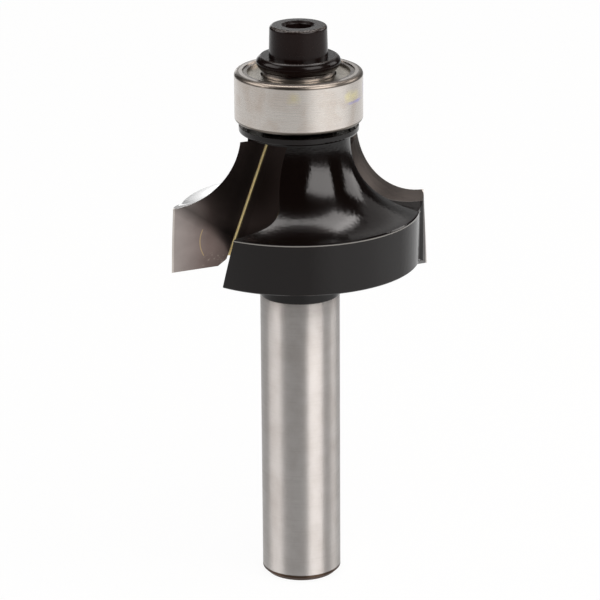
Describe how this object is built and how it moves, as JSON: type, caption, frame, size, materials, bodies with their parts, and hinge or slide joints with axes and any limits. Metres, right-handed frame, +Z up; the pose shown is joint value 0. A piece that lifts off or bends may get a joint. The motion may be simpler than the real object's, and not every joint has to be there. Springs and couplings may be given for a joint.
{
  "type": "router bit",
  "caption": "Round-over router bit with a straight shank, brazed carbide tips and a ball-bearing guide held by a cap screw.",
  "frame": {"origin": "centre of the shank's flat end", "axes": "+Z up the axis from the shank's end towards the guide bearing; the cutting tips lie towards -X and +X, with their rake planes parallel to X"},
  "size_m": [0.0252, 0.024, 0.0576],
  "materials": {
    "body_steel": "ground shank, black coat on the cutting end",
    "tip_carbide": "ground",
    "braze_metal": "as brazed",
    "bearing_steel": "fine ground",
    "shield_steel": "pressed",
    "spring_steel": "bright wire",
    "cage_nylon": "moulded",
    "ball_steel": "polished",
    "black_steel": "black oxide"
  },
  "bodies": {
    "cutter": {"cutter_body": "body_steel", "carbide_tip_1": "tip_carbide", "carbide_tip_2": "tip_carbide", "braze_1": "braze_metal", "braze_2": "braze_metal", "bearing_inner_ring": "bearing_steel", "bearing_washer": "black_steel", "cap_screw": "black_steel"},
    "guide_ring": {"bearing_outer_ring": "bearing_steel", "bearing_shield_lower": "shield_steel", "bearing_shield_upper": "shield_steel", "snap_ring_lower": "spring_steel", "snap_ring_upper": "spring_steel"},
    "ball_cage": {"bearing_cage": "cage_nylon"},
    "ball_1": {"bearing_ball_1": "ball_steel"},
    "ball_2": {"bearing_ball_2": "ball_steel"},
    "ball_3": {"bearing_ball_3": "ball_steel"},
    "ball_4": {"bearing_ball_4": "ball_steel"},
    "ball_5": {"bearing_ball_5": "ball_steel"},
    "ball_6": {"bearing_ball_6": "ball_steel"},
    "ball_7": {"bearing_ball_7": "ball_steel"}
  },
  "joints": [
    {"name": "bearing_spin", "type": "hinge", "parent": "cutter", "child": "guide_ring", "pos_m": [0, 0, 0.05052], "axis": [0, 0, 1], "continuous": true},
    {"name": "cage_spin", "type": "hinge", "parent": "cutter", "child": "ball_cage", "pos_m": [0, 0, 0.05052], "axis": [0, 0, 1], "continuous": true},
    {"name": "ball_1_spin", "type": "hinge", "parent": "ball_cage", "child": "ball_1", "pos_m": [0.00437, 0, 0.05052], "axis": [0, 0, 1], "continuous": true},
    {"name": "ball_2_spin", "type": "hinge", "parent": "ball_cage", "child": "ball_2", "pos_m": [0.00272, 0.00341, 0.05052], "axis": [0, 0, 1], "continuous": true},
    {"name": "ball_3_spin", "type": "hinge", "parent": "ball_cage", "child": "ball_3", "pos_m": [-0.00097, 0.00426, 0.05052], "axis": [0, 0, 1], "continuous": true},
    {"name": "ball_4_spin", "type": "hinge", "parent": "ball_cage", "child": "ball_4", "pos_m": [-0.00393, 0.00189, 0.05052], "axis": [0, 0, 1], "continuous": true},
    {"name": "ball_5_spin", "type": "hinge", "parent": "ball_cage", "child": "ball_5", "pos_m": [-0.00393, -0.00189, 0.05052], "axis": [0, 0, 1], "continuous": true},
    {"name": "ball_6_spin", "type": "hinge", "parent": "ball_cage", "child": "ball_6", "pos_m": [-0.00097, -0.00426, 0.05052], "axis": [0, 0, 1], "continuous": true},
    {"name": "ball_7_spin", "type": "hinge", "parent": "ball_cage", "child": "ball_7", "pos_m": [0.00272, -0.00341, 0.05052], "axis": [0, 0, 1], "continuous": true}
  ],
  "couplings": [
    {"joint": "cage_spin", "follows": "bearing_spin", "ratio": 0.63635},
    {"joint": "ball_1_spin", "follows": "bearing_spin", "ratio": 1.6972},
    {"joint": "ball_2_spin", "follows": "bearing_spin", "ratio": 1.6972},
    {"joint": "ball_3_spin", "follows": "bearing_spin", "ratio": 1.6972},
    {"joint": "ball_4_spin", "follows": "bearing_spin", "ratio": 1.6972},
    {"joint": "ball_5_spin", "follows": "bearing_spin", "ratio": 1.6972},
    {"joint": "ball_6_spin", "follows": "bearing_spin", "ratio": 1.6972},
    {"joint": "ball_7_spin", "follows": "bearing_spin", "ratio": 1.6972}
  ]
}
